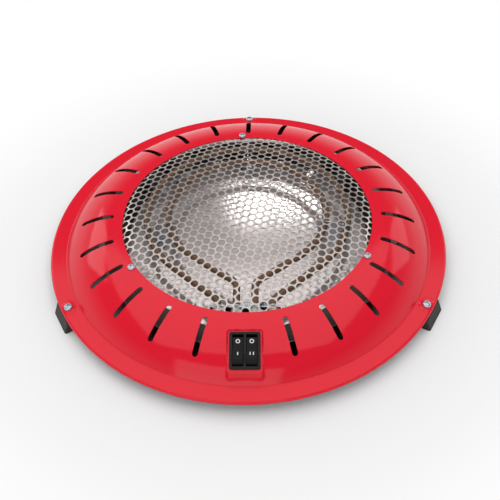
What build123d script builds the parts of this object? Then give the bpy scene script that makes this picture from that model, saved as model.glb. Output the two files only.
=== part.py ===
from build123d import *
import math
import os

# Electric brazier: a round floor heater with a pressed cover, a domed guard grille and two tubular elements.
# Millimetres, +Z up, z = 0 on the floor. The switch side is the front, towards -Y.
# Names ending in _rise are heights above the top of the rim flange.

# Overall
overall_diameter = 380.0
rim_height = 14.0

# Pressed cover
cover_sheet = 0.8
cover_width = 72.0
opening_land = 4.0
crown_rise = 25.3
crown_strips = 5
flange_width = 16.0
crease_fillet = 4.0
fold_strips = 2
lip_radius = 2.0
lip_depth = 3.0
slot_divisions = 24
slot_width = 5.0
slot_length = 33.2
slot_inset = 21.4
boss_length = 20.0
boss_width = 11.0
boss_height = 1.0

# Double rocker switch and its seat pressed into the cover
switch_inset = 30.0
switch_rise = 19.0
switch_tilt = 18.6
bezel_width = 25.5
bezel_length = 31.4
bezel_height = 2.0
bezel_corner = 1.5
housing_width = 22.0
housing_length = 28.4
housing_depth = 14.0
housing_fit = 0.15
seat_width = 31.0
seat_length = 37.0
seat_corner = 2.5
seat_draft = 35.0
seat_depth = 14.0
rocker_width = 8.8
rocker_clearance = 0.3
rocker_bar = 2.0
rocker_swing = 22.0
rocker_radius = 13.3
rocker_middle = 4.0
rocker_below = 2.2
pivot_depth = 4.2
pivot_diameter = 2.4
pivot_reach = 0.5
well_depth = 9.4
tab_width = 4.8
tab_thickness = 0.8
tab_length = 6.5
tab_spacing = 12.0

# Guard grille
grille_sheet = 0.6
grille_seat_gap = 0.1
dome_gap = 1.0
dome_rise = 10.3
dome_strips = 5
grille_flange_width = 8.0
mesh_pitch = 15.0
mesh_bar = 2.3
mesh_turn = 20.0
mesh_margin = 14.0

# Grille screws, turned a little from the slot pattern
grille_screw_inset = 3.7
grille_screw_turn = 3.0
small_screw = 3.0
small_head = 7.0
small_head_height = 2.2
small_nut = 5.5
small_nut_height = 2.4

# Flange screws, each over a foot
screw_count = 3
flange_screw_inset = 6.5
large_screw = 4.0
large_head = 7.8
large_head_height = 2.6
large_nut = 7.0
large_nut_height = 3.2
screw_clearance = 0.2

# Feet
foot_overhang = 5.0
foot_width = 29.5
foot_length = 23.0
foot_roof = 4.4
foot_flare = 4.5
foot_pocket = 9.6
foot_corner = 2.0
foot_lip_gap = 0.4

# Bottom pan
pan_sheet = 0.8
pan_inset = 22.0
pan_flange_width = 19.5
pan_floor_height = 4.8
pan_corner = 1.4
vent_count = 12
vent_width = 6.0
vent_length = 26.0
vent_inset = 40.0

# Reflector dish
dish_sheet = 0.8
dish_floor_rise = -1.0
dish_floor_inset = 2.0
dish_bowl_width = 22.0
dish_bowl_strips = 3
dish_shoulder_rise = 4.0
dish_rim_flare = 4.6
dish_rim_rise = 11.0
dish_notch_width = 32.0
dish_notch_inset = 8.0
window_length = 14.0
window_width = 4.0
window_x = 8.0
window_inset = 22.5

# Tubular heating elements
tube_diameter = 6.5
tube_sides = 12
tube_rise = 18.0
loop_centre_y = 11.0
loop_inset = 19.0
loop_spacing = 21.0
inner_end_x = 8.0
outer_end_x = 24.0
inner_leg = 38.0
outer_leg = 18.5
element_bend = 12.0
element_reach = 1.0
element_projection = 7.0
pin_diameter = 2.4
pin_length = 8.0

# Terminal bracket and bushes
bracket_width = 60.0
bracket_top_rise = 23.0
bracket_sheet = 1.2
bracket_foot_width = 36.0
bracket_foot_length = 24.0
bracket_screw_x = 5.0
bracket_screw_inset = 16.0
bush_diameter = 9.0
bush_length = 8.0
bush_collar = 1.5
bush_fit = 0.1

# Element supports
support_angles = (0.0, 105.0, -105.0)
support_sheet = 1.2
support_margin = 3.0
support_foot = 8.0
support_hole_fit = 0.2
rivet_diameter = 3.0
rivet_head = 5.6
rivet_head_height = 1.2

# Spacers between the pan and the dish
spacer_inset = 12.0
spacer_diameter = 8.0
spacer_turn = 45.0

# Thermal cut-out below the dish window
cutout_diameter = 16.0
cutout_body = 4.6
cutout_flange = 24.0
cutout_flange_width = 9.0
cutout_flange_height = 0.8

# Mains terminal block, earth stud and cord inlet, near the back
block_angle = 142.0
mains_inset = 14.0
block_length = 30.0
block_width = 14.0
block_height = 12.0
block_ways = 3
block_way_diameter = 4.4
block_hole = 3.4
earth_angle = 124.0
earth_height = 10.0
washer_diameter = 9.0
washer_height = 0.8
gland_angle = 158.0
gland_width = 15.0
gland_height = 5.8
gland_length = 12.0
gland_collar = 1.6
cord_width = 7.0
cord_height = 3.6

# Radii, each from the piece that carries or borders it
overall_radius = overall_diameter / 2
opening_radius = overall_radius - cover_width
land_radius = opening_radius + opening_land
crease_radius = overall_radius - flange_width
slot_middle_radius = land_radius + slot_inset
switch_radius = land_radius + switch_inset
flange_screw_radius = overall_radius - flange_screw_inset
dome_radius = opening_radius - dome_gap
mesh_reach = dome_radius - mesh_margin
grille_flange_radius = dome_radius + grille_flange_width
grille_screw_radius = opening_radius + grille_screw_inset
foot_outer_radius = overall_radius + foot_overhang
foot_inner_radius = foot_outer_radius - foot_length
pan_radius = overall_radius - pan_inset
pan_flange_radius = pan_radius + pan_flange_width
vent_middle_radius = pan_radius - vent_inset
mains_radius = pan_radius - mains_inset
dish_floor_radius = opening_radius - dish_floor_inset
dish_shoulder_radius = dish_floor_radius + dish_bowl_width
dish_rim_radius = dish_shoulder_radius + dish_rim_flare
dish_notch_radius = dish_floor_radius + dish_notch_inset
spacer_radius = dish_floor_radius - spacer_inset
outer_loop_radius = dish_floor_radius - loop_inset
inner_loop_radius = outer_loop_radius - loop_spacing
tube_radius = tube_diameter / 2

# Places along Y
element_end_y = -(dish_floor_radius + element_reach)
inner_corner_y = element_end_y + inner_leg
outer_corner_y = element_end_y + outer_leg
bracket_y = element_end_y + element_projection
bracket_screw_y = bracket_y + bracket_screw_inset
window_y = loop_centre_y + inner_loop_radius - window_inset

# Heights
crown_top = rim_height + crown_rise
grille_top = crown_top - cover_sheet - grille_seat_gap
pan_top = rim_height - cover_sheet
foot_top = pan_top - pan_sheet
dish_floor = rim_height + dish_floor_rise
tube_height = rim_height + tube_rise

# The rim reaches less far forward than the back foot reaches back, so the axis stands off the origin.
stand = Location((0, -foot_overhang / 2, 0))


def revolved(*edges):
    """Turn a closed outline, X as radius and Y as height, about the upright axis."""
    return revolve(Plane.XZ * make_face(list(edges)), Axis.Z)


def around(radius, angle, height=0.0):
    """A place at a radius, an angle from the front towards +X and a height, turned to face outwards."""
    return Rot(0, 0, angle) * Pos(0, -radius, height)


def arc_points(centre, radius, start, turn, strips):
    """Points along an arc of a section, so that its sheet is made of conical strips."""
    angles = [math.radians(start + turn * index / strips) for index in range(strips + 1)]
    return [(centre[0] + radius * math.cos(angle), centre[1] + radius * math.sin(angle)) for angle in angles]


def rod(diameter, length):
    """An upright cylinder that stands on z = 0."""
    return Pos(0, 0, length / 2) * Cylinder(diameter / 2, length)


def block(width, length, height):
    """An upright box that stands on z = 0."""
    return Pos(0, 0, height / 2) * Box(width, length, height)


def pan_screw(size, head, head_height, length):
    """Pan-head screw with the underside of its head at z = 0 and its shank below."""
    top = rod(head, head_height)
    top = chamfer(top.edges().group_by(Axis.Z)[-1], head_height / 2)
    return top + Pos(0, 0, -length) * rod(size, length)


def hex_nut(size, flats, height):
    """Nut that hangs below z = 0 on a screw of the given size."""
    ring = RegularPolygon(flats / 2, 6, major_radius=False) - Circle(size / 2)
    return Pos(0, 0, -height) * extrude(ring, height)


def group(shapes):
    """Several separate solids as one sub-part."""
    return Compound([solid for shape in shapes for solid in shape.solids()])


def screw_angles(turn=0.0):
    """Angles of the three screws: one at the back and one on each side of the front."""
    return [180.0 + turn + index * 360.0 / screw_count for index in range(screw_count)]


# Pressed cover

def cover_body(inset, inner_radius, base):
    """Solid under the cover's skin, its section drawn inset below the outer face."""
    run = crease_radius - land_radius
    crown = (run**2 + crown_rise**2) / (2 * crown_rise)
    crown_y = crown_top - crown
    turn_y = rim_height + crease_fillet
    turn_x = land_radius + math.sqrt((crown + crease_fillet) ** 2 - (turn_y - crown_y) ** 2)
    lean = math.degrees(math.atan2(turn_y - crown_y, turn_x - land_radius))
    edge_x = overall_radius - lip_radius
    edge_y = rim_height - lip_radius
    top = (inner_radius, crown_top - inset)
    brow = math.degrees(math.asin((grille_flange_radius + grille_seat_gap - land_radius) / (crown - cover_sheet)))
    slope = [(land_radius, crown_top - inset)]
    slope += arc_points((land_radius, crown_y), crown - inset, 90 - brow, lean + brow - 90, crown_strips)
    crease = arc_points((turn_x, turn_y), crease_fillet + inset, 180 + lean, 90 - lean, fold_strips)
    lip = arc_points((edge_x, edge_y), lip_radius - inset, 90, -90, fold_strips)
    floor = [(overall_radius - inset, base), (inner_radius, base)]
    return revolved(Polyline([top] + slope + crease[1:] + lip + floor + [top]))


def switch_plane(height=0.0):
    """Plane of the bezel's face, moved along its normal; local +Y points up the slope to the centre."""
    tilt = math.radians(switch_tilt)
    face = Plane(
        origin=(0, -switch_radius, rim_height + switch_rise),
        x_dir=(1, 0, 0),
        z_dir=(0, -math.sin(tilt), math.cos(tilt)),
    )
    return face.offset(height)


def seat_body(inset, direction):
    """Tapered block on the seat's face, inset below its outer skin: direction -1 below it and 1 above it."""
    draft = math.radians(seat_draft)
    spread = direction * inset * (1 / math.cos(draft) - math.tan(draft))
    reach = spread + seat_depth * math.tan(draft)
    near = RectangleRounded(seat_width + 2 * spread, seat_length + 2 * spread, seat_corner + spread)
    far = RectangleRounded(seat_width + 2 * reach, seat_length + 2 * reach, seat_corner + reach)
    level = -bezel_height - inset
    return loft([switch_plane(level) * near, switch_plane(level + direction * seat_depth) * far])


def make_top_cover():
    """Cover with its slots, opening, switch seat and screw bosses."""
    base = rim_height - lip_depth
    skin = cover_body(0, opening_radius, base) + seat_body(0, -1) - seat_body(0, 1)
    hollow = cover_body(cover_sheet, opening_radius - cover_sheet, 0) + seat_body(cover_sheet, -1)
    cover = skin - (hollow - seat_body(cover_sheet, 1))
    boss = extrude(SlotOverall(boss_length, boss_width), boss_height)
    cover += [around(flange_screw_radius, angle, rim_height) * boss for angle in screw_angles()]
    slot = extrude(Rot(0, 0, 90) * SlotOverall(slot_length, slot_width), crown_top)
    pitch = 360.0 / slot_divisions
    cuts = [around(slot_middle_radius, pitch * index) * slot for index in range(1, slot_divisions)]
    hole = rod(large_screw + 2 * screw_clearance, crown_top)
    cuts += [around(flange_screw_radius, angle) * hole for angle in screw_angles()]
    hole = rod(small_screw + 2 * screw_clearance, 2 * crown_top)
    cuts += [around(grille_screw_radius, angle) * hole for angle in screw_angles(grille_screw_turn)]
    width = housing_width + 2 * housing_fit
    length = housing_length + 2 * housing_fit
    cuts.append(switch_plane(-seat_depth) * block(width, length, seat_depth))
    return cover - cuts


# Guard grille

def mesh_centres():
    """Centres of the close-packed openings inside the mesh's reach."""
    row = mesh_pitch * math.sqrt(3) / 2
    steps = int(mesh_reach / row) + 1
    centres = []
    for line in range(-steps, steps + 1):
        shift = mesh_pitch / 2 * (line % 2)
        for place in range(-steps, steps + 1):
            x = place * mesh_pitch + shift
            y = line * row
            if math.hypot(x, y) < mesh_reach:
                centres.append((x, y))
    return centres


def dome_body(inset):
    """Half-ellipse dome over its footprint in conical strips under a flat top, drawn inset below the outer face."""
    wide = dome_radius - inset
    high = dome_rise - inset
    angles = [math.pi / 2 * index / dome_strips for index in range(dome_strips)]
    side = [(wide * math.cos(angle), grille_top + high * math.sin(angle)) for angle in angles]
    crown = [(side[-1][0], grille_top + high), (0, grille_top + high)]
    base = grille_top - grille_sheet
    return revolved(Polyline([(0, base), (wide, base)] + side[:-1] + crown + [(0, base)]))


def make_guard_grille():
    """Domed grille with six-sided openings and a flat flange below the cover's edge."""
    flange = Pos(0, 0, grille_top - grille_sheet) * rod(2 * grille_flange_radius, grille_sheet)
    grille = dome_body(0) + flange
    opening = extrude(RegularPolygon((mesh_pitch - mesh_bar) / 2, 6, major_radius=False), 2 * crown_top)
    turn = Rot(0, 0, mesh_turn)
    cuts = [turn * Pos(x, y, 0) * opening for x, y in mesh_centres()]
    hole = rod(small_screw + 2 * screw_clearance, 2 * crown_top)
    cuts += [around(grille_screw_radius, angle) * hole for angle in screw_angles(grille_screw_turn)]
    return grille - dome_body(grille_sheet) - cuts


# Bottom pan and reflector dish

def make_bottom_pan():
    """Closing pan with a flange under the rim, air slots and the holes for what stands on it."""
    floor = pan_floor_height
    under = floor - pan_sheet
    corner = pan_corner
    inside = corner - (2 - math.sqrt(2)) * pan_sheet
    wall = pan_radius
    inner_wall = wall - pan_sheet
    pan = revolved(
        Polyline((0, floor), (inner_wall - inside, floor), (inner_wall, floor + inside), (inner_wall, pan_top),
                 (pan_flange_radius, pan_top), (pan_flange_radius, foot_top), (wall, foot_top),
                 (wall, under + corner), (wall - corner, under), (0, under), (0, floor))
    )
    vent = block(vent_width, vent_length, rim_height)
    pitch = 360.0 / vent_count
    cuts = [around(vent_middle_radius, pitch * (index + 0.5)) * vent for index in range(vent_count)]
    hole = rod(large_screw + 2 * screw_clearance, rim_height)
    cuts += [around(flange_screw_radius, angle) * hole for angle in screw_angles()]
    hole = rod(small_screw + 2 * screw_clearance, rim_height)
    cuts += [around(spacer_radius, angle) * hole for angle in screw_angles(spacer_turn)]
    cuts.append(around(mains_radius, block_angle) * hole)
    cuts.append(around(mains_radius, earth_angle) * rod(large_screw + 2 * screw_clearance, rim_height))
    cuts.append(gland_place() * Box(gland_width + 2 * housing_fit, 4 * corner, gland_height + 2 * housing_fit))
    return pan - cuts


def make_reflector_dish():
    """Bright dish under the elements, with a flared rim, a sensing window and room for the switch."""
    floor = dish_floor
    run = dish_shoulder_radius - dish_floor_radius
    climb = dish_shoulder_rise - dish_floor_rise
    bowl = (run**2 + climb**2) / (2 * climb)
    lean = math.degrees(math.asin(run / bowl))
    rim = (dish_rim_radius, rim_height + dish_rim_rise)
    centre = (dish_floor_radius, floor + bowl)
    inner = arc_points(centre, bowl, -90, lean, dish_bowl_strips)
    outer = arc_points(centre, bowl + dish_sheet, lean - 90, -lean, dish_bowl_strips)
    middle = [(0, floor - dish_sheet), (0, floor)]
    dish = revolved(Polyline(middle[1:] + inner + [rim, (rim[0] + dish_sheet, rim[1])] + outer + middle))
    notch_length = 2 * (dish_rim_radius - dish_notch_radius)
    cuts = [Pos(0, -dish_rim_radius, 0) * block(dish_notch_width, notch_length, crown_top)]
    cuts.append(Pos(window_x, window_y, 0) * extrude(SlotOverall(window_length, window_width), rim_height))
    hole = rod(small_screw + 2 * screw_clearance, rim_height)
    cuts += [around(spacer_radius, angle) * hole for angle in screw_angles(spacer_turn)]
    cuts.append(Pos(bracket_screw_x, bracket_screw_y, 0) * hole)
    hole = rod(rivet_diameter, rim_height)
    cuts += [place * hole for place in support_rivet_places(0)]
    return dish - cuts


# Heating elements, their bracket and supports

def make_element(loop_radius, end_x, corner_y):
    """Bent tube of many sides: a loop round the back, two runs that leave it in line, and two ends to the front."""
    centre = Vector(0, loop_centre_y)
    corner = Vector(end_x, corner_y)
    reach = corner - centre
    spread = math.degrees(math.acos(loop_radius / reach.length))
    leave = math.degrees(math.atan2(reach.Y, reach.X)) + spread
    leaving = centre + Vector(loop_radius, 0).rotate(Axis.Z, leave)
    run = (leaving - corner).normalized()
    turn = run.get_angle(Vector(0, 1))
    setback = element_bend * math.tan(math.radians(turn / 2))
    first = corner - Vector(0, setback)
    second = corner + run * setback
    mirrored = Vector(-leaving.X, leaving.Y)
    path = Wire(
        [
            Line((end_x, element_end_y), first).edge(),
            TangentArc(first, second, tangent=(0, 1)).edge(),
            Line(second, leaving).edge(),
            ThreePointArc(leaving, centre + Vector(0, loop_radius), mirrored).edge(),
            Line(mirrored, (-second.X, second.Y)).edge(),
            TangentArc((-second.X, second.Y), (-first.X, first.Y), tangent=(run.X, -run.Y)).edge(),
            Line((-first.X, first.Y), (-end_x, element_end_y)).edge(),
        ]
    )
    section = Plane(origin=(end_x, element_end_y, 0), z_dir=(0, 1, 0)) * RegularPolygon(tube_radius, tube_sides)
    return Pos(0, 0, tube_height) * sweep(section, path=path)


def end_places():
    """Where the four element ends pass the bracket, as (x, z)."""
    return [(side * x, tube_height) for x in (inner_end_x, outer_end_x) for side in (1, -1)]


def facing_front(x, y, z):
    """A place whose local +Z points to the front."""
    return Plane(origin=(x, y, z), x_dir=(1, 0, 0), z_dir=(0, -1, 0))


def make_element_bushes():
    """Ceramic bushes with a collar inside the bracket, one round each element end."""
    bore = rod(tube_diameter + 2 * bush_fit, bush_length + bush_collar)
    bush = rod(bush_diameter + 2 * bush_collar, bush_collar)
    bush += rod(bush_diameter - 2 * bush_fit, bush_length)
    back = bracket_y + bracket_sheet / 2 + bush_collar
    return group(facing_front(x, back, z) * (bush - bore) for x, z in end_places())


def make_element_terminals():
    """Cold pins that stand out of the four element ends."""
    pin = rod(pin_diameter, pin_length)
    return group(facing_front(x, element_end_y, z) * pin for x, z in end_places())


def make_terminal_bracket():
    """Angle plate that carries the element ends and stands on the dish."""
    top = rim_height + bracket_top_rise
    plate = Pos(0, bracket_y, dish_floor) * block(bracket_width, bracket_sheet, top - dish_floor)
    foot_y = bracket_y + bracket_foot_length / 2
    foot = Pos(0, foot_y, dish_floor) * block(bracket_foot_width, bracket_foot_length, bracket_sheet)
    hole = rod(bush_diameter, 4 * bracket_sheet)
    cuts = [facing_front(x, bracket_y + 2 * bracket_sheet, z) * hole for x, z in end_places()]
    cuts.append(Pos(bracket_screw_x, bracket_screw_y, 0) * rod(small_screw + 2 * screw_clearance, rim_height * 2))
    return plate + foot - cuts


def make_bracket_screw():
    """Screw that holds the bracket's foot to the dish."""
    length = bracket_sheet + dish_sheet + small_nut_height
    seat = dish_floor + bracket_sheet
    return Pos(bracket_screw_x, bracket_screw_y, seat) * pan_screw(small_screw, small_head, small_head_height, length)


def make_bracket_nut():
    """Nut below the dish on the bracket's screw."""
    below = dish_floor - dish_sheet
    return Pos(bracket_screw_x, bracket_screw_y, below) * hex_nut(small_screw, small_nut, small_nut_height)


def support_place(angle):
    """Middle of a support between the two loops, its local X pointing out from the loops' centre."""
    return Pos(0, loop_centre_y, 0) * Rot(0, 0, 90 + angle) * Pos((inner_loop_radius + outer_loop_radius) / 2, 0, 0)


def support_rivet_places(height):
    """Rivets through the feet of the supports."""
    return [support_place(angle) * Pos(0, support_foot / 2, height) for angle in support_angles]


def make_element_support(angle):
    """Upright plate that both loops pass through, with a bent foot."""
    gap = outer_loop_radius - inner_loop_radius
    width = gap + tube_diameter + 2 * support_margin
    height = tube_height + tube_radius + support_margin - dish_floor
    plate = Pos(0, 0, dish_floor) * block(width, support_sheet, height)
    foot = Pos(0, support_foot / 2, dish_floor) * block(support_foot, support_foot, support_sheet)
    hole = rod(tube_diameter + 2 * support_hole_fit, 4 * support_sheet)
    cuts = [facing_front(x, 2 * support_sheet, tube_height) * hole for x in (gap / 2, -gap / 2)]
    cuts.append(Pos(0, support_foot / 2, 0) * rod(rivet_diameter, tube_height))
    return support_place(angle) * (plate + foot - cuts)


def make_support_rivets():
    """Rivets with a flat head above the foot and one below the dish."""
    grip = support_sheet + dish_sheet
    rivet = rod(rivet_head, rivet_head_height) + Pos(0, 0, -grip) * rod(rivet_diameter, grip)
    rivet += Pos(0, 0, -grip - rivet_head_height) * rod(rivet_head, rivet_head_height)
    return group(place * rivet for place in support_rivet_places(dish_floor + support_sheet))


# Spacers, thermal cut-out and mains parts

def make_dish_spacers():
    """Sleeves that hold the dish above the pan."""
    height = dish_floor - dish_sheet - pan_floor_height
    sleeve = rod(spacer_diameter, height) - rod(small_screw + 2 * screw_clearance, height)
    return group(around(spacer_radius, angle, pan_floor_height) * sleeve for angle in screw_angles(spacer_turn))


def make_spacer_screws():
    """Screws from the dish down through the spacers."""
    length = dish_floor - pan_floor_height + pan_sheet + small_nut_height
    screw = pan_screw(small_screw, small_head, small_head_height, length)
    return group(around(spacer_radius, angle, dish_floor) * screw for angle in screw_angles(spacer_turn))


def make_spacer_nuts():
    """Nuts below the pan on the spacer screws."""
    nut = hex_nut(small_screw, small_nut, small_nut_height)
    below = pan_floor_height - pan_sheet
    return group(around(spacer_radius, angle, below) * nut for angle in screw_angles(spacer_turn))


def make_thermal_cutout():
    """Disc thermostat with a mounting flange, pressed up against the dish below its window."""
    under = dish_floor - dish_sheet
    flange = extrude(SlotOverall(cutout_flange, cutout_flange_width), -cutout_flange_height)
    body = Pos(0, 0, -cutout_body) * rod(cutout_diameter, cutout_body)
    tab = Pos(0, 0, -cutout_body) * block(tab_width, tab_thickness, tab_thickness)
    blades = [Pos(side * (cutout_diameter + tab_width) / 2, 0, 0) * tab for side in (1, -1)]
    return Pos(window_x, window_y, under) * (flange + body + blades)


def make_terminal_block():
    """Three-way connection block on the pan."""
    body = block(block_length, block_width, block_height)
    pitch = block_length / block_ways
    cuts = []
    for index in range(block_ways):
        x = pitch * (index - (block_ways - 1) / 2)
        way = Rot(90, 0, 0) * Cylinder(block_hole / 2, block_width)
        cuts.append(Pos(x, 0, block_height * 0.4) * way)
        for end in (block_width / 4, -block_width / 4):
            cuts.append(Pos(x, end, block_height * 0.4) * rod(block_way_diameter, block_height))
    cuts.append(rod(small_screw + 2 * screw_clearance, block_height))
    cuts.append(Pos(0, 0, block_height / 2) * rod(block_way_diameter + 2 * screw_clearance, block_height))
    return around(mains_radius, block_angle, pan_floor_height) * (body - cuts)


def make_block_screw():
    """Screw that holds the terminal block down, its head in a recess between the ways."""
    length = block_height / 2 + pan_sheet
    screw = pan_screw(small_screw, block_way_diameter, small_head_height, length)
    return around(mains_radius, block_angle, pan_floor_height + block_height / 2) * screw


def make_earth_stud():
    """Earth screw from below the pan with its washer and nut."""
    stud = Rot(180, 0, 0) * pan_screw(large_screw, large_head, pan_floor_height - 2 * pan_sheet, earth_height)
    stud = Pos(0, 0, pan_floor_height - pan_sheet) * stud
    washer = rod(washer_diameter, washer_height) - rod(large_screw, washer_height)
    level = pan_floor_height + washer_height
    nut = hex_nut(large_screw, large_nut, large_nut_height)
    pieces = [stud, Pos(0, 0, pan_floor_height) * washer, Pos(0, 0, level + large_nut_height) * nut]
    return group(around(mains_radius, earth_angle) * piece for piece in pieces)


def gland_place():
    """Middle of the cord inlet in the pan's wall, with local -Y outwards."""
    height = pan_floor_height + (pan_top - pan_floor_height) / 2
    return around(pan_radius - pan_sheet / 2, gland_angle, height)


def make_cord_gland():
    """Strain relief for a flat cord, with a collar on each side of the pan's wall."""
    body = Box(gland_width, gland_length, gland_height)
    collar = Box(gland_width + gland_collar, gland_collar, gland_height + gland_collar / 2)
    offset = pan_sheet / 2 + gland_collar
    gland = body + Pos(0, offset, 0) * collar + Pos(0, -offset, 0) * collar
    bore = Plane.XZ * SlotOverall(cord_width, cord_height)
    return gland_place() * (gland - extrude(bore, gland_length, both=True))


# Feet and fasteners

def make_foot(angle):
    """Moulded foot under the rim: flared outer face, flat sole and a pocket round the nut."""
    inside = overall_radius - cover_sheet - foot_lip_gap
    lip = math.sqrt(inside**2 - (foot_width / 2) ** 2)
    under_lip = rim_height - lip_depth - foot_lip_gap
    side = Plane.YZ * make_face(
        Polyline(
            (-foot_inner_radius, 0),
            (-foot_inner_radius, foot_top),
            (-lip, foot_top),
            (-lip, under_lip),
            (foot_flare - foot_outer_radius, under_lip),
            (-foot_outer_radius, 0),
            (-foot_inner_radius, 0),
        )
    )
    foot = extrude(side, foot_width / 2, both=True)
    corners = foot.edges().filter_by(lambda edge: abs((edge @ 0).X) > foot_width / 2 - 0.01
                                     and abs((edge @ 0).X - (edge @ 1).X) < 0.01
                                     and abs((edge @ 0).Z - (edge @ 1).Z) > foot_top / 2)
    foot = fillet(corners, foot_corner)
    pocket = Pos(0, -flange_screw_radius, 0) * rod(foot_pocket, foot_top - foot_roof)
    hole = Pos(0, -flange_screw_radius, 0) * rod(large_screw + 2 * screw_clearance, foot_top)
    return Rot(0, 0, angle) * (foot - pocket - hole)


def make_flange_screws():
    """Screws through the rim bosses, the pan's flange and the feet."""
    level = rim_height + boss_height
    length = level - (foot_top - foot_roof) + large_nut_height + boss_height
    screw = pan_screw(large_screw, large_head, large_head_height, length)
    return group(around(flange_screw_radius, angle, level) * screw for angle in screw_angles())


def make_flange_nuts():
    """Nuts inside the pockets of the feet."""
    nut = hex_nut(large_screw, large_nut, large_nut_height)
    level = foot_top - foot_roof
    return group(around(flange_screw_radius, angle, level) * nut for angle in screw_angles())


def make_grille_screws():
    """Screws that hold the grille's flange below the opening's edge."""
    length = crown_top - grille_top + grille_sheet + small_nut_height + boss_height
    screw = pan_screw(small_screw, small_head, small_head_height, length)
    angles = screw_angles(grille_screw_turn)
    return group(around(grille_screw_radius, angle, crown_top) * screw for angle in angles)


def make_grille_nuts():
    """Nuts below the grille's flange."""
    nut = hex_nut(small_screw, small_nut, small_nut_height)
    level = grille_top - grille_sheet
    angles = screw_angles(grille_screw_turn)
    return group(around(grille_screw_radius, angle, level) * nut for angle in angles)


# Double rocker switch, built on the plane of its bezel's face

def well_width():
    """Width of one rocker's well in the housing."""
    return rocker_width + 2 * rocker_clearance


def rocker_x(side):
    """Middle of a rocker: side -1 on the left, 1 on the right."""
    return side * (rocker_bar + well_width()) / 2


def make_switch_housing():
    """Bezel and body with two wells and the holes that the rockers' pivots turn in."""
    bezel = extrude(RectangleRounded(bezel_width, bezel_length, bezel_corner), -bezel_height)
    bezel = chamfer(bezel.edges().group_by(Axis.Z)[-1], 0.5)
    body = Pos(0, 0, -bezel_height - housing_depth) * block(housing_width, housing_length, housing_depth)
    well_length = 2 * (rocker_radius + rocker_clearance)
    well = Pos(0, 0, -well_depth) * block(well_width(), well_length, well_depth)
    cuts = [Pos(rocker_x(side), 0, 0) * well for side in (-1, 1)]
    pivot = Rot(0, 90, 0) * Cylinder(pivot_diameter / 2 + rocker_clearance, housing_width)
    cuts.append(Pos(0, 0, -pivot_depth) * pivot)
    return switch_plane() * (bezel + body - cuts)


def make_rocker(side):
    """Rocker with its end towards the centre pressed down, which is the off position."""
    half_swing = math.radians(rocker_swing / 2)
    slope = math.tan(half_swing)
    # The top face meets the end's arc where (x, middle + slope x) lies on the rocker's radius.
    a = 1 + slope**2
    b = rocker_middle * slope
    reach = (-b + math.sqrt(b**2 - a * (rocker_middle**2 - rocker_radius**2))) / a
    high = rocker_middle + slope * reach
    upper = math.degrees(math.atan2(high, reach))
    lower = math.degrees(math.asin(rocker_below / rocker_radius))
    foot = rocker_radius * math.cos(math.radians(lower))
    outline = make_face(
        [
            Polyline((-reach, high), (0, rocker_middle), (reach, high)),
            CenterArc((0, 0), rocker_radius, -lower, lower + upper),
            Line((foot, -rocker_below), (-foot, -rocker_below)),
            CenterArc((0, 0), rocker_radius, 180 - upper, lower + upper),
        ]
    )
    rocker = extrude(Plane.YZ * outline, rocker_width / 2, both=True)
    pivot_length = rocker_width + 2 * (rocker_clearance + pivot_reach)
    rocker += Rot(0, 90, 0) * Cylinder(pivot_diameter / 2, pivot_length)
    return switch_plane() * Pos(rocker_x(side), 0, -pivot_depth) * Rot(-rocker_swing / 2, 0, 0) * rocker


def make_switch_tabs():
    """Blade terminals below the switch body, two for each rocker."""
    tab = block(tab_thickness, tab_width, tab_length)
    level = -bezel_height - housing_depth - tab_length
    places = [(rocker_x(side), end * tab_spacing / 2) for side in (-1, 1) for end in (-1, 1)]
    return group(switch_plane() * Pos(x, y, level) * tab for x, y in places)


def all_parts():
    """Every sub-part under the name of its file."""
    parts = {
        "top_cover": make_top_cover(),
        "guard_grille": make_guard_grille(),
        "bottom_pan": make_bottom_pan(),
        "reflector_dish": make_reflector_dish(),
        "heating_element_inner": make_element(inner_loop_radius, inner_end_x, inner_corner_y),
        "heating_element_outer": make_element(outer_loop_radius, outer_end_x, outer_corner_y),
        "element_bushes": make_element_bushes(),
        "element_terminals": make_element_terminals(),
        "terminal_bracket": make_terminal_bracket(),
        "bracket_screw": make_bracket_screw(),
        "bracket_nut": make_bracket_nut(),
        "support_rivets": make_support_rivets(),
        "dish_spacers": make_dish_spacers(),
        "spacer_screws": make_spacer_screws(),
        "spacer_nuts": make_spacer_nuts(),
        "thermal_cutout": make_thermal_cutout(),
        "terminal_block": make_terminal_block(),
        "block_screw": make_block_screw(),
        "earth_stud": make_earth_stud(),
        "cord_gland": make_cord_gland(),
        "flange_screws": make_flange_screws(),
        "flange_nuts": make_flange_nuts(),
        "grille_screws": make_grille_screws(),
        "grille_nuts": make_grille_nuts(),
        "switch_housing": make_switch_housing(),
        "switch_tabs": make_switch_tabs(),
        "rocker_left": make_rocker(-1),
        "rocker_right": make_rocker(1),
    }
    for name, angle in zip(("back", "right", "left"), support_angles):
        parts[f"element_support_{name}"] = make_element_support(angle)
    for name, angle in zip(("back", "left", "right"), screw_angles()):
        parts[f"foot_{name}"] = make_foot(angle)
    return parts


os.makedirs("parts", exist_ok=True)
for name, shape in all_parts().items():
    export_step(stand * shape, f"parts/{name}.step")
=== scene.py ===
"""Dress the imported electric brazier: enamel cover, perforated grille, elements, switch and studio."""

import logging
import math
from dataclasses import dataclass, field
from enum import Enum

import bmesh
import bpy
from mathutils import Matrix, Vector

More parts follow.
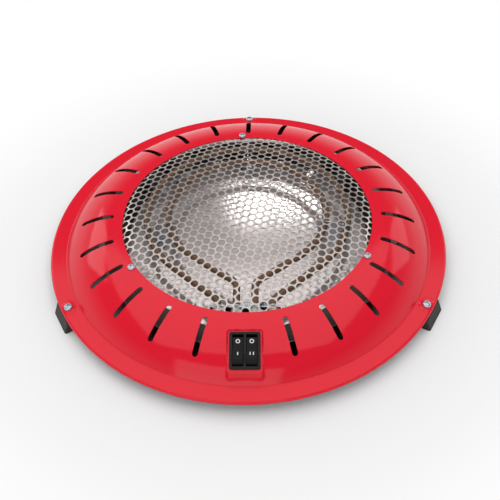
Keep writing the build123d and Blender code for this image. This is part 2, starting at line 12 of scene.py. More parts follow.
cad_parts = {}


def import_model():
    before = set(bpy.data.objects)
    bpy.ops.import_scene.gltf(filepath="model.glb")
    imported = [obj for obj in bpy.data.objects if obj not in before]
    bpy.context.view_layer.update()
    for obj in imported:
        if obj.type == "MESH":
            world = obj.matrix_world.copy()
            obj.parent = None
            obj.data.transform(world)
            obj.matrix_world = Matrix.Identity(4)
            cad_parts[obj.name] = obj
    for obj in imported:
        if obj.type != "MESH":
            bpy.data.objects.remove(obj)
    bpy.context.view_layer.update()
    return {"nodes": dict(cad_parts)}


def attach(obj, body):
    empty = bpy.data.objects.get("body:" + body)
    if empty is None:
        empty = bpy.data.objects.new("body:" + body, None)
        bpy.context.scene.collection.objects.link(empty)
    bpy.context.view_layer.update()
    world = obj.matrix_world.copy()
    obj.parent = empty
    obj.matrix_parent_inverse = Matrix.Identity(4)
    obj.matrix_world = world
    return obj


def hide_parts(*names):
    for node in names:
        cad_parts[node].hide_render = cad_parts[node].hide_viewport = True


log = logging.getLogger("brazier")
MM = 0.001
UP = Vector((0, 0, 1))
# The cover's axis stands off the row's origin by half of what the back foot reaches past the rim.
AXIS = Vector((0, -2.5 * MM, 0))
RIM = 14 * MM
SCREW_ANGLES = (180.0, 300.0, 60.0)
GRILLE_SCREW_RADIUS = 121.7 * MM
GRILLE_SCREW_TURN = 3.0
BRACKET_SCREW = Vector((5 * MM, -94 * MM, 14.2 * MM))
# Points closer than this are welded into one.
WELD = 0.001 * MM


class Body(str, Enum):
    """Bodies of the frame that pieces ride on."""

    HEATER = "heater"
    LEFT = "rocker_left"
    RIGHT = "rocker_right"


@dataclass(frozen=True)
class Finish:
    """One finish: two mottled colours, uneven gloss, and the size and strength of its grain."""

    name: str
    colour: tuple
    shade: tuple
    metallic: float = 0.0
    roughness: float = 0.4
    spread: float = 0.1
    scale: float = 60.0
    bump: float = 0.05
    specular: float = 0.5

    def material(self) -> bpy.types.Material:
        """Build the procedural material, once for each finish.

        Returns:
            The material.
        """
        # The frame's own materials carry the plain names, so a finish takes a longer one.
        name = f"{self.name}_finish"
        known = bpy.data.materials.get(name)
        if known:
            return known
        material = bpy.data.materials.new(name)
        material.use_nodes = True
        tree = material.node_tree
        shader = tree.nodes["Principled BSDF"]
        shader.inputs["Metallic"].default_value = self.metallic
        shader.inputs["Specular IOR Level"].default_value = self.specular
        place = tree.nodes.new("ShaderNodeTexCoord")
        cloud = tree.nodes.new("ShaderNodeTexNoise")
        cloud.inputs["Scale"].default_value = self.scale
        cloud.inputs["Detail"].default_value = 5.0
        tree.links.new(place.outputs["Object"], cloud.inputs["Vector"])
        tone = tree.nodes.new("ShaderNodeMix")
        tone.data_type = "RGBA"
        tone.inputs[6].default_value = (*self.shade, 1)
        tone.inputs[7].default_value = (*self.colour, 1)
        tree.links.new(cloud.outputs["Fac"], tone.inputs["Factor"])
        tree.links.new(tone.outputs[2], shader.inputs["Base Color"])
        gloss = tree.nodes.new("ShaderNodeMapRange")
        gloss.inputs["To Min"].default_value = max(0.02, self.roughness - self.spread)
        gloss.inputs["To Max"].default_value = self.roughness + self.spread
        tree.links.new(cloud.outputs["Fac"], gloss.inputs["Value"])
        tree.links.new(gloss.outputs["Result"], shader.inputs["Roughness"])
        bump = tree.nodes.new("ShaderNodeBump")
        bump.inputs["Strength"].default_value = self.bump
        bump.inputs["Distance"].default_value = 0.2 * MM
        tree.links.new(cloud.outputs["Fac"], bump.inputs["Height"])
        tree.links.new(bump.outputs["Normal"], shader.inputs["Normal"])
        return material


ENAMEL = Finish("red_enamel", (0.82, 0.008, 0.030), (0.77, 0.006, 0.024), roughness=0.11, spread=0.03,
                scale=420, bump=0.008, specular=0.35)
# Near-black underside of the cover: a ground coat, made this dark as painted shade, so that the chamber seen
# through the slots reads as shadow.
GROUND_COAT_AND_SHADE = Finish("ground_coat_painted_shade", (0.016, 0.014, 0.014), (0.009, 0.008, 0.008), roughness=0.6, scale=200)
PLATED = Finish("plated_mesh", (0.66, 0.60, 0.56), (0.46, 0.415, 0.385), 1.0, 0.30, 0.10, 90, 0.02)
DISH = Finish("dish_aluminium", (0.90, 0.84, 0.84), (0.84, 0.77, 0.77), 0.7, 0.12, 0.03, 30, 0.02)
# The dish's bowl is painted dark as painted shade, in place of the shadow that falls inside the chamber under
# the cover.
BOWL_PAINTED_SHADE = Finish("dish_bowl_painted_shade", (0.11, 0.10, 0.095), (0.08, 0.072, 0.068), 1.0, 0.42, 0.08, 30, 0.03)
PAN = Finish("galvanised", (0.50, 0.52, 0.54), (0.34, 0.36, 0.38), 1.0, 0.42, 0.14, 45, 0.03)
SHEATH = Finish("oxidised_sheath", (0.31, 0.175, 0.105), (0.12, 0.072, 0.048), 0.5, 0.42, 0.16, 55, 0.06)
CERAMIC = Finish("white_ceramic", (0.74, 0.72, 0.66), (0.62, 0.59, 0.53), 0.0, 0.38, 0.1, 140, 0.03)
FOOT = Finish("foot_plastic", (0.034, 0.031, 0.026), (0.024, 0.022, 0.018), 0.0, 0.46, 0.1, 900, 0.10, 0.2)
BEZEL = Finish("bezel_plastic", (0.024, 0.021, 0.022), (0.018, 0.016, 0.016), 0.0, 0.42, 0.08,
               scale=1200, bump=0.06, specular=0.15)
ROCKER = Finish("rocker_plastic", (0.010, 0.008, 0.009), (0.008, 0.007, 0.007), 0.0, 0.34, 0.06,
                scale=1200, bump=0.03, specular=0.15)
ZINC = Finish("zinc_steel", (0.62, 0.66, 0.72), (0.44, 0.48, 0.54), 1.0, 0.24, 0.10, 160, 0.03)
BRASS = Finish("brass_blade", (0.72, 0.56, 0.26), (0.58, 0.43, 0.18), 1.0, 0.32, 0.12, 160, 0.03)
MARK = Finish("white_mark", (0.80, 0.82, 0.86), (0.72, 0.74, 0.78), 0.0, 0.45, 0.05, 700, 0.02)

CAD_FINISHES = {
    "bottom_pan": PAN,
    "element_bushes": CERAMIC,
    "terminal_block": CERAMIC,
    "foot_": FOOT,
    "cord_gland": FOOT,
    "switch_housing": BEZEL,
    "switch_tabs": BRASS,
}


def new_piece(name: str, mesh: bmesh.types.BMesh, finishes: list[Finish], body: Body) -> bpy.types.Object:
    """Turn a bmesh into a smooth-shaded object that rides on a body.

    Args:
        name: name of the new object.
        mesh: its geometry, in the row frame; it is freed.
        finishes: its finishes, in the order of its material slots.
        body: the body that it rides on.
    Returns:
        The new object.
    """
    data = bpy.data.meshes.new(name)
    mesh.to_mesh(data)
    mesh.free()
    piece = bpy.data.objects.new(name, data)
    bpy.context.scene.collection.objects.link(piece)
    for finish in finishes:
        data.materials.append(finish.material())
    soften(piece, 32)
    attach(piece, body.value)
    log.info("made %s", name)
    return piece


def soften(piece: bpy.types.Object, degrees: float) -> None:
    """Shade a piece smooth, with sharp edges above an angle.

    Args:
        piece: the piece to shade.
        degrees: the angle from which an edge stays sharp.
    """
    piece.data.shade_smooth()
    piece.data.set_sharp_from_angle(angle=math.radians(degrees))


def settle(piece: bpy.types.Object) -> None:
    """Replace a piece's mesh by its evaluated mesh and clear its modifiers.

    Args:
        piece: the piece with the modifiers.
    """
    graph = bpy.context.evaluated_depsgraph_get()
    piece.data = bpy.data.meshes.new_from_object(piece.evaluated_get(graph))
    piece.modifiers.clear()


def thicken(piece: bpy.types.Object, sheet: float, inner: int = 0) -> None:
    """Give an upward-facing sheet its thickness below its outer face.

    Args:
        piece: the sheet.
        sheet: its thickness.
        inner: how many material slots further the underside's finish stands.
    """
    solid = piece.modifiers.new("sheet", "SOLIDIFY")
    solid.thickness = sheet
    solid.offset = -1
    solid.material_offset = inner
    settle(piece)


def carve(piece: bpy.types.Object, mesh: bmesh.types.BMesh, crossed: bool = False) -> None:
    """Cut closed forms out of a piece.

    Args:
        piece: the piece to cut.
        mesh: the forms; it is freed.
        crossed: whether the forms pass through each other.
    """
    bmesh.ops.recalc_face_normals(mesh, faces=mesh.faces)
    data = bpy.data.meshes.new("cutter")
    mesh.to_mesh(data)
    mesh.free()
    cutter = bpy.data.objects.new("cutter", data)
    bpy.context.scene.collection.objects.link(cutter)
    cut = piece.modifiers.new("cut", "BOOLEAN")
    cut.object = cutter
    cut.operation = "DIFFERENCE"
    cut.solver = "EXACT"
    cut.use_self = crossed
    settle(piece)
    bpy.data.objects.remove(cutter)


def chain(mesh: bmesh.types.BMesh, section: list[tuple[float, float]]) -> list:
    """Draw an open section in the XZ plane.

    Args:
        mesh: the bmesh to draw in.
        section: (radius, height) points.
    Returns:
        The new vertices and edges.
    """
    verts = [mesh.verts.new((radius, 0, height)) for radius, height in section]
    edges = [mesh.edges.new(pair) for pair in zip(verts, verts[1:])]
    return verts + edges


def spun(section: list[tuple[float, float]], steps: int) -> bmesh.types.BMesh:
    """Spin a section about Z into a surface that faces up.

    Args:
        section: (radius, height) points from the middle outwards.
        steps: divisions of the full turn.
    Returns:
        The new bmesh.
    """
    mesh = bmesh.new()
    bmesh.ops.spin(mesh, geom=chain(mesh, section), cent=(0, 0, 0), axis=(0, 0, 1), angle=2 * math.pi,
                   steps=steps, use_merge=True)
    bmesh.ops.remove_doubles(mesh, verts=mesh.verts, dist=WELD)
    bmesh.ops.recalc_face_normals(mesh, faces=mesh.faces)
    mesh.normal_update()
    if sum(face.normal.z * face.calc_area() for face in mesh.faces) < 0:
        bmesh.ops.reverse_faces(mesh, faces=mesh.faces)
    return mesh


def add_plate(mesh: bmesh.types.BMesh, outline: list[tuple[float, float]], place: Matrix,
              depth: float) -> None:
    """Add a closed plate that reaches down from an outline.

    Args:
        mesh: the bmesh to add to.
        outline: points on the place's local XY plane.
        place: where the outline lies.
        depth: how far the plate reaches along the place's local -Z.
    """
    verts = [mesh.verts.new(place @ Vector((x, y, 0))) for x, y in outline]
    face = mesh.faces.new(verts)
    grown = bmesh.ops.extrude_face_region(mesh, geom=[face], use_keep_orig=True)["geom"]
    moved = [part for part in grown if isinstance(part, bmesh.types.BMVert)]
    bmesh.ops.translate(mesh, verts=moved, vec=place.to_3x3() @ Vector((0, 0, -depth)))


def oblong(width: float, length: float) -> list[tuple[float, float]]:
    """Outline of a rectangle about the origin."""
    x, y = width / 2, length / 2
    return [(x, y), (-x, y), (-x, -y), (x, -y)]


def stadium(length: float, width: float, steps: int = 8) -> list[tuple[float, float]]:
    """Draw the outline of a slot with round ends.

    Args:
        length: its length along local Y.
        width: its width.
        steps: divisions of each round end.
    Returns:
        The outline's points.
    """
    points = []
    for end in (1, -1):
        for index in range(steps + 1):
            angle = math.pi * index / steps
            x, y = math.cos(angle) * width / 2, (length - width) / 2 + math.sin(angle) * width / 2
            points.append((end * x, end * y))
    return points


def around(radius: float, degrees: float, height: float) -> Matrix:
    """Place at a radius, an angle from the front towards +X and a height above the floor."""
    turn = Matrix.Rotation(math.radians(degrees), 4, "Z")
    return Matrix.Translation(AXIS) @ turn @ Matrix.Translation((0, -radius, height))


def ease(value: float) -> float:
    """Ease from 0 to 1."""
    value = min(1.0, max(0.0, value))
    return value * value * (3 - 2 * value)


def soft_max(first: float, second: float, width: float) -> float:
    """Larger of two heights with a rounded join."""
    blend = max(width - abs(first - second), 0.0) / width
    return max(first, second) + blend * blend * width / 4


@dataclass
class Switch:
    """Double rocker switch: the tilted face that it sits on, its two rockers and their marks."""

    radius: float = 152 * MM
    rise: float = 19 * MM
    tilt: float = math.radians(18.6)
    bezel_height: float = 2 * MM
    cut: tuple = (22.3 * MM, 28.7 * MM)
    rocker_width: float = 8.8 * MM
    rocker_x: float = 5.7 * MM
    rocker_middle: float = 4 * MM
    rocker_reach: float = 10.0 * MM
    rocker_foot: float = 13.0 * MM
    rocker_shoulder: tuple = (0.2 * MM, 1.4 * MM)
    rocker_below: float = 2.2 * MM
    pivot_depth: float = 4.2 * MM
    swing: float = math.radians(22)
    edge: float = 0.3 * MM
    edge_steps: int = 3
    turned_from: float = math.radians(40)
    ink: float = 0.04 * MM
    ring: tuple = (1.1 * MM, 1.85 * MM)
    ring_steps: int = 32
    ring_place: float = 6.9 * MM
    bar: tuple = (0.8 * MM, 3.0 * MM)
    bar_gap: float = 2.7 * MM
    bar_place: float = -4.3 * MM

    def place(self, height: float = 0.0) -> Matrix:
        """Find the frame of the bezel's face, with local +Y up the slope and +Z along its normal.

        Args:
            height: move along the normal.
        Returns:
            The place.
        """
        origin = AXIS + Vector((0, -self.radius, RIM + self.rise))
        slope = Matrix.Rotation(self.tilt, 4, "X")
        return Matrix.Translation(origin) @ slope @ Matrix.Translation((0, 0, height))

    def outline(self) -> list[tuple[float, float]]:
        """Draw the side outline of a rocker about its pivot, in its middle position.

        Returns:
            (along, up) points.
        """
        high = self.rocker_middle + self.rocker_reach * math.tan(self.swing / 2)
        foot, shoulder = self.rocker_foot, self.rocker_shoulder
        right = [(foot, -self.rocker_below), (foot - shoulder[0], shoulder[1]), (self.rocker_reach, high)]
        return right + [(0.0, self.rocker_middle)] + [(-x, z) for x, z in reversed(right)]

    def build_rocker(self, side: int, body: Body) -> None:
        """Make one rocker with softened edges, at rest with its centre end pressed down.

        Args:
            side: -1 for the left rocker, 1 for the right one.
            body: the body that it rides on.
        """
        move = Matrix.Translation((side * self.rocker_x, 0, -self.pivot_depth))
        pivot = self.place() @ move @ Matrix.Rotation(-self.swing / 2, 4, "X")
        standing = Matrix(((0, 0, 1, 0), (1, 0, 0, 0), (0, 1, 0, 0), (0, 0, 0, 1)))
        mesh = bmesh.new()
        flank = pivot @ Matrix.Translation((self.rocker_width / 2, 0, 0)) @ standing
        add_plate(mesh, self.outline(), flank, self.rocker_width)
        bmesh.ops.recalc_face_normals(mesh, faces=mesh.faces)
        turned = [edge for edge in mesh.edges if edge.calc_face_angle(0) > self.turned_from]
        bmesh.ops.bevel(mesh, geom=turned, offset=self.edge, segments=self.edge_steps, profile=0.5,
                        affect="EDGES", material=-1)
        piece = new_piece(f"{body.value}_cap", mesh, [ROCKER], body)
        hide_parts(body.value)
        self.build_marks(side, body, pivot)

    def build_marks(self, side: int, body: Body, pivot: Matrix) -> None:
        """Print a ring near the centre end, and one or two bars nearer the front.

        Args:
            side: -1 for the left rocker, 1 for the right one.
            body: the body that the marks ride on.
            pivot: the rocker's pivot frame at rest.
        """
        mesh = bmesh.new()
        for end, offset in ((1, self.ring_place), (-1, self.bar_place)):
            lean = Matrix.Rotation(end * self.swing / 2, 4, "X")
            top = pivot @ Matrix.Translation((0, 0, self.rocker_middle)) @ lean
            place = top @ Matrix.Translation((0, offset, self.ink))
            if end > 0:
                for radius in self.ring:
                    bmesh.ops.create_circle(mesh, segments=self.ring_steps, radius=radius, matrix=place)
                faces = bmesh.ops.bridge_loops(mesh, edges=mesh.edges[:])["faces"]
                bmesh.ops.solidify(mesh, geom=faces, thickness=self.ink / 2)
                continue
            shifts = (0.0,) if side < 0 else (-self.bar_gap / 2, self.bar_gap / 2)
            for shift in shifts:
                add_plate(mesh, oblong(*self.bar), place @ Matrix.Translation((shift, 0, 0)), self.ink / 2)
        bmesh.ops.recalc_face_normals(mesh, faces=mesh.faces)
        piece = new_piece(f"{body.value}_marks", mesh, [MARK], body)


@dataclass
class Cover:
    """Pressed enamel cover with slots, the switch's seat, screw bosses and a turned lip."""

    switch: Switch
    radius: float = 190 * MM
    sheet: float = 0.8 * MM
    opening: float = 118 * MM
    land: float = 122 * MM
    crown_rise: float = 25.3 * MM
    crease: float = 174.6 * MM
    crease_fillet: float = 1.6 * MM
    lip: float = 2 * MM
    lip_depth: float = 3 * MM
    slot_divisions: int = 24
    slot: tuple = (33.2 * MM, 5 * MM)
    slot_middle: float = 143.4 * MM
    boss: tuple = (14 * MM, 10 * MM, 1 * MM)
    boss_radius: float = 183.5 * MM
    boss_blend: float = 3 * MM
    boss_reach: float = 10 * MM
    seat_width: float = 28.6 * MM
    seat_length: float = 35.4 * MM
    seat_corner: float = 2 * MM
    seat_draft: float = math.radians(22)
    seat_reach: float = 16 * MM
    seat_round: float = 0.8 * MM
    seat_margin: float = 5 * MM
    seat_cuts: int = 3
    boss_cuts: int = 2
    cut_height: float = 60 * MM
    switch_cut: tuple = (4 * MM, 20 * MM)
    tangent_step: float = 0.12 * MM
    on_skin: float = 0.12 * MM
    steps: int = 480

    def crown(self) -> tuple[float, float, float]:
        """Work out the arc of the crown.

        Returns:
            Its radius, the height of its centre, and the radius where the crease meets the flange.
        """
        run = self.crease - self.land
        crown = (run**2 + self.crown_rise**2) / (2 * self.crown_rise)
        centre = self.crown_rise - crown
        reach = math.sqrt((crown + self.crease_fillet) ** 2 - (self.crease_fillet - centre) ** 2)
        return crown, centre, self.land + reach

    def profile(self, radius: float) -> float:
        """Find the height of the round skin above the rim flange.

        Args:
            radius: distance from the axis.
        Returns:
            The height.
        """
        crown, centre, fillet = self.crown()
        meeting = self.land + (fillet - self.land) * crown / (crown + self.crease_fillet)
        if radius <= self.land:
            return self.crown_rise
        if radius < meeting:
            return centre + math.sqrt(crown**2 - (radius - self.land) ** 2)
        if radius < fillet:
            return self.crease_fillet - math.sqrt(self.crease_fillet**2 - (fillet - radius) ** 2)
        return 0.0

    def beside_seat(self, x: float, y: float) -> float:
        """Find how far a place lies outside the seat's rounded rectangle.

        Args:
            x: place from the axis.
            y: place from the axis.
        Returns:
            The distance, negative inside.
        """
        along = abs(y + self.switch.radius) / math.cos(self.switch.tilt)
        dx = abs(x) - self.seat_width / 2 + self.seat_corner
        dy = along - self.seat_length / 2 + self.seat_corner
        return math.hypot(max(dx, 0), max(dy, 0)) + min(max(dx, dy), 0) - self.seat_corner

    def height(self, x: float, y: float) -> float:
        """Find the height of the skin, with the seat sunk at its back and raised at its front.

        Args:
            x: place from the axis.
            y: place from the axis.
        Returns:
            The height above the floor.
        """
        round_skin = RIM + self.profile(math.hypot(x, y))
        outside = self.beside_seat(x, y)
        if outside > self.seat_reach:
            return round_skin
        tilt = self.switch.tilt
        drop = self.switch.bezel_height / math.cos(tilt)
        seat = RIM + self.switch.rise + (y + self.switch.radius) * math.tan(tilt) - drop
        wall = max(outside, 0.0) / math.tan(self.seat_draft)
        raised = soft_max(round_skin, seat - wall, self.seat_round)
        if seat >= round_skin:
            return raised
        return min(round_skin, seat) if outside <= 0 else min(raised, seat + wall)

    def boss_rise(self, x: float, y: float) -> float:
        """Find the rise of the three pressed bosses under the flange screws.

        Args:
            x: place from the axis.
            y: place from the axis.
        Returns:
            The rise above the flange.
        """
        length, width, rise = self.boss
        best = 0.0
        for degrees in SCREW_ANGLES:
            angle = math.radians(degrees)
            across = x * math.sin(angle) - y * math.cos(angle) - self.boss_radius
            along = abs(x * math.cos(angle) + y * math.sin(angle))
            distance = math.hypot(max(along - (length - width) / 2, 0.0), across) - width / 2
            best = max(best, rise * ease(0.5 - distance / self.boss_blend))
        return best

    def point(self, x: float, y: float) -> Vector:
        """Point of the skin over a place measured from the axis."""
        return Vector((x, y, self.height(x, y) + self.boss_rise(x, y)))

    def normal(self, x: float, y: float) -> Vector:
        """Find the unit normal of the skin over a place measured from the axis.

        Args:
            x: place from the axis.
            y: place from the axis.
        Returns:
            The normal.
        """
        step = self.tangent_step
        along = self.point(x + step, y) - self.point(x - step, y)
        across = self.point(x, y + step) - self.point(x, y - step)
        return along.cross(across).normalized()

    def section(self) -> list[tuple[float, float]]:
        """Lay the rings of the blank, closer at the crease, with the rolled lip at the end.

        Returns:
            (radius, height) points from the opening outwards.
        """
        fillet = self.crown()[2]
        edge = self.radius - self.lip
        before, after = self.crease - 4 * MM, fillet + 0.4 * MM
        stops = [(self.opening, 1), (self.land, 2), (before, 30), (after, 12), (edge, 8)]
        radii = [self.opening]
        for (start, _), (stop, parts) in zip(stops, stops[1:]):
            radii += [start + (stop - start) * (index + 1) / parts for index in range(parts)]
        rings = [(radius, RIM) for radius in radii]
        for degrees in (65, 40, 15, 0):
            angle = math.radians(degrees)
            inwards, down = self.lip * (1 - math.cos(angle)), self.lip * (1 - math.sin(angle))
            rings.append((self.radius - inwards, RIM - down))
        return rings + [(self.radius, RIM - self.lip_depth)]

    def build(self) -> None:
        """Make the cover and cut its openings."""
        mesh = spun(self.section(), self.steps)
        near = [edge for edge in mesh.edges
                if all(self.beside_seat(v.co.x, v.co.y) < self.seat_margin and v.co.y < 0
                       for v in edge.verts)]
        bmesh.ops.subdivide_edges(mesh, edges=near, cuts=self.seat_cuts, use_grid_fill=True)
        for degrees in SCREW_ANGLES:
            middle = (around(self.boss_radius, degrees, RIM).translation - AXIS).xy
            near = [edge for edge in mesh.edges
                    if all((v.co.xy - middle).length < self.boss_reach and v.co.z == RIM for v in edge.verts)]
            bmesh.ops.subdivide_edges(mesh, edges=near, cuts=self.boss_cuts, use_grid_fill=True)
        edge = self.radius - self.lip + WELD
        for vertex in mesh.verts:
            if vertex.co.xy.length <= edge:
                vertex.co = self.point(vertex.co.x, vertex.co.y)
            vertex.co += AXIS
        # The underside takes the near-black coat, which paints the shade inside the chamber.
        piece = new_piece("cover_enamel", mesh, [ENAMEL, GROUND_COAT_AND_SHADE], Body.HEATER)
        thicken(piece, self.sheet, inner=1)
        cuts = bmesh.new()
        # The division at the front has no slot, because the switch stands there.
        for index in range(1, self.slot_divisions):
            place = around(self.slot_middle, 360 / self.slot_divisions * index, self.cut_height)
            add_plate(cuts, stadium(*self.slot), place, self.cut_height)
        above, depth = self.switch_cut
        add_plate(cuts, oblong(*self.switch.cut), self.switch.place(above), depth)
        carve(piece, cuts)
        self.smooth_skin(piece)
        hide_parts("top_cover")

    def smooth_skin(self, piece: bpy.types.Object) -> None:
        """Give the outer skin the exact normals of its formula, so that its reflections run smooth.

        Args:
            piece: the cut cover.
        """
        data = piece.data
        data.shade_smooth()
        edge = self.radius - self.lip
        normals = [Vector(corner.vector) for corner in data.corner_normals]
        exact = {}
        for vertex in data.vertices:
            x, y = vertex.co.x - AXIS.x, vertex.co.y - AXIS.y
            if self.opening - 0.01 * MM <= math.hypot(x, y) <= edge:
                if abs(vertex.co.z - self.point(x, y).z) < self.on_skin:
                    exact[vertex.index] = self.normal(x, y)
        for face in data.polygons:
            outer = all(index in exact for index in face.vertices)
            for loop in face.loop_indices:
                vertex = data.loops[loop].vertex_index
                if outer and face.normal.dot(exact[vertex]) > 0.6:
                    normals[loop] = exact[vertex]
                elif (face.center - AXIS).xy.length < edge:
                    normals[loop] = face.normal.copy()
        data.normals_split_custom_set(normals)


@dataclass
class Grille:
    """Guard grille: perforated sheet pressed to a shallow dome, with round holes in close rows."""

    sheet: float = 0.5 * MM
    base: float = 38.4 * MM
    dome: float = 117 * MM
    rise: float = 10.3 * MM
    blank: float = 124.8 * MM
    pitch: float = 8.0 * MM
    hole: float = 6.95 * MM
    turn: float = math.radians(20)
    sides: int = 12
    weld: float = 0.02 * MM
    sliver: float = 1e-10

    def height(self, radius: float) -> float:
        """Height of the outer face at a radius from the axis."""
        return self.base + self.rise * math.sqrt(max(0.0, 1 - (radius / self.dome) ** 2))

    def cell(self) -> bpy.types.Mesh:
        """Make one six-sided cell with a round hole.

        Returns:
            Its mesh.
        """
        mesh = bmesh.new()
        turn = Matrix.Rotation(self.turn + math.pi / 6, 4, "Z")
        bmesh.ops.create_circle(mesh, segments=self.sides, radius=self.hole / 2, matrix=turn)
        grown = bmesh.ops.extrude_edge_only(mesh, edges=mesh.edges[:])["geom"]
        for part in grown:
            if isinstance(part, bmesh.types.BMVert):
                angle = (math.atan2(part.co.y, part.co.x) - self.turn) % (math.pi / 3)
                corner = abs(angle - math.pi / 6) < 0.1
                part.co = part.co.normalized() * (self.pitch / math.sqrt(3) if corner else self.pitch / 2)
        data = bpy.data.meshes.new("cell")
        mesh.to_mesh(data)
        mesh.free()
        return data

    def centres(self) -> list[Vector]:
        """Lay out the cells.

        Returns:
            The centres of those that reach the blank.
        """
        row = self.pitch * math.sqrt(3) / 2
        steps = int(self.blank / row) + 2
        turn = Matrix.Rotation(self.turn, 2)
        spots = [Vector(((place + (line % 2) / 2) * self.pitch, line * row))
                 for line in range(-steps, steps + 1) for place in range(-steps, steps + 1)]
        return [turn @ spot for spot in spots if spot.length <= self.blank + self.pitch / 3]

    def build(self) -> None:
        """Make the perforated dome."""
        mesh = bmesh.new()
        cell = self.cell()
        for centre in self.centres():
            before = len(mesh.verts)
            mesh.from_mesh(cell)
            mesh.verts.ensure_lookup_table()
            bmesh.ops.translate(mesh, verts=mesh.verts[before:], vec=centre.to_3d())
        bmesh.ops.remove_doubles(mesh, verts=mesh.verts, dist=self.weld)
        for vertex in mesh.verts:
            if vertex.co.length > self.blank:
                vertex.co = vertex.co.normalized() * self.blank
        slivers = [face for face in mesh.faces if face.calc_area() < self.sliver]
        bmesh.ops.delete(mesh, geom=slivers, context="FACES")
        for vertex in mesh.verts:
            vertex.co.z = self.height(vertex.co.xy.length)
            vertex.co += AXIS
        bmesh.ops.recalc_face_normals(mesh, faces=mesh.faces)
        mesh.normal_update()
        if sum(face.normal.z for face in mesh.faces) < 0:
            bmesh.ops.reverse_faces(mesh, faces=mesh.faces)
        piece = new_piece("grille_mesh", mesh, [PLATED], Body.HEATER)
        thicken(piece, self.sheet)
        soften(piece, 50)
        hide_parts("guard_grille")


@dataclass
class Dish:
    """Polished reflector dish with a flared rim, a sensing window and room for the switch."""

    sheet: float = 0.8 * MM
    floor: float = 13 * MM
    floor_radius: float = 116 * MM
    shoulder: tuple = (138 * MM, 18 * MM)
    rim: tuple = (142.6 * MM, 25 * MM)
    notch: tuple = (32 * MM, 37.2 * MM)
    window: tuple = (14 * MM, 4 * MM)
    window_place: tuple = (8 * MM, 64.5 * MM)
    bowl_steps: int = 8
    steps: int = 144

    def section(self) -> list[tuple[float, float]]:
        """Draw the flat middle, the bowl and the flared rim.

        Returns:
            (radius, height) points.
        """
        run, climb = self.shoulder[0] - self.floor_radius, self.shoulder[1] - self.floor
        bowl = (run**2 + climb**2) / (2 * climb)
        points = [(radius * self.floor_radius, self.floor) for radius in (0.0, 0.35, 0.7, 1.0)]
        for index in range(1, self.bowl_steps + 1):
            x = run * index / self.bowl_steps
            points.append((self.floor_radius + x, self.floor + bowl - math.sqrt(bowl**2 - x**2)))
        return points + [self.rim]

    def build(self) -> None:
        """Make the dish, with its bowl in a dark finish that paints its shade, and cut its notch and window.
        """
        mesh = spun(self.section(), self.steps)
        bmesh.ops.translate(mesh, verts=mesh.verts, vec=AXIS)
        for face in mesh.faces:
            radius = (face.calc_center_median() - AXIS).xy.length
            # The bowl between the flat floor and the shoulder takes the dark painted shade.
            face.material_index = int(self.floor_radius < radius < self.shoulder[0])
        piece = new_piece("dish_polished", mesh, [DISH, BOWL_PAINTED_SHADE], Body.HEATER)
        thicken(piece, self.sheet)
        cuts = bmesh.new()
        add_plate(cuts, oblong(*self.notch), around(self.rim[0], 0, 2 * self.rim[1]), 3 * self.rim[1])
        slot = [(x, y) for y, x in stadium(*self.window)]
        place = Matrix.Translation(AXIS + Vector((*self.window_place, 2 * self.floor)))
        add_plate(cuts, slot, place, 3 * self.floor)
        carve(piece, cuts)
        soften(piece, 25)
        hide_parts("reflector_dish")


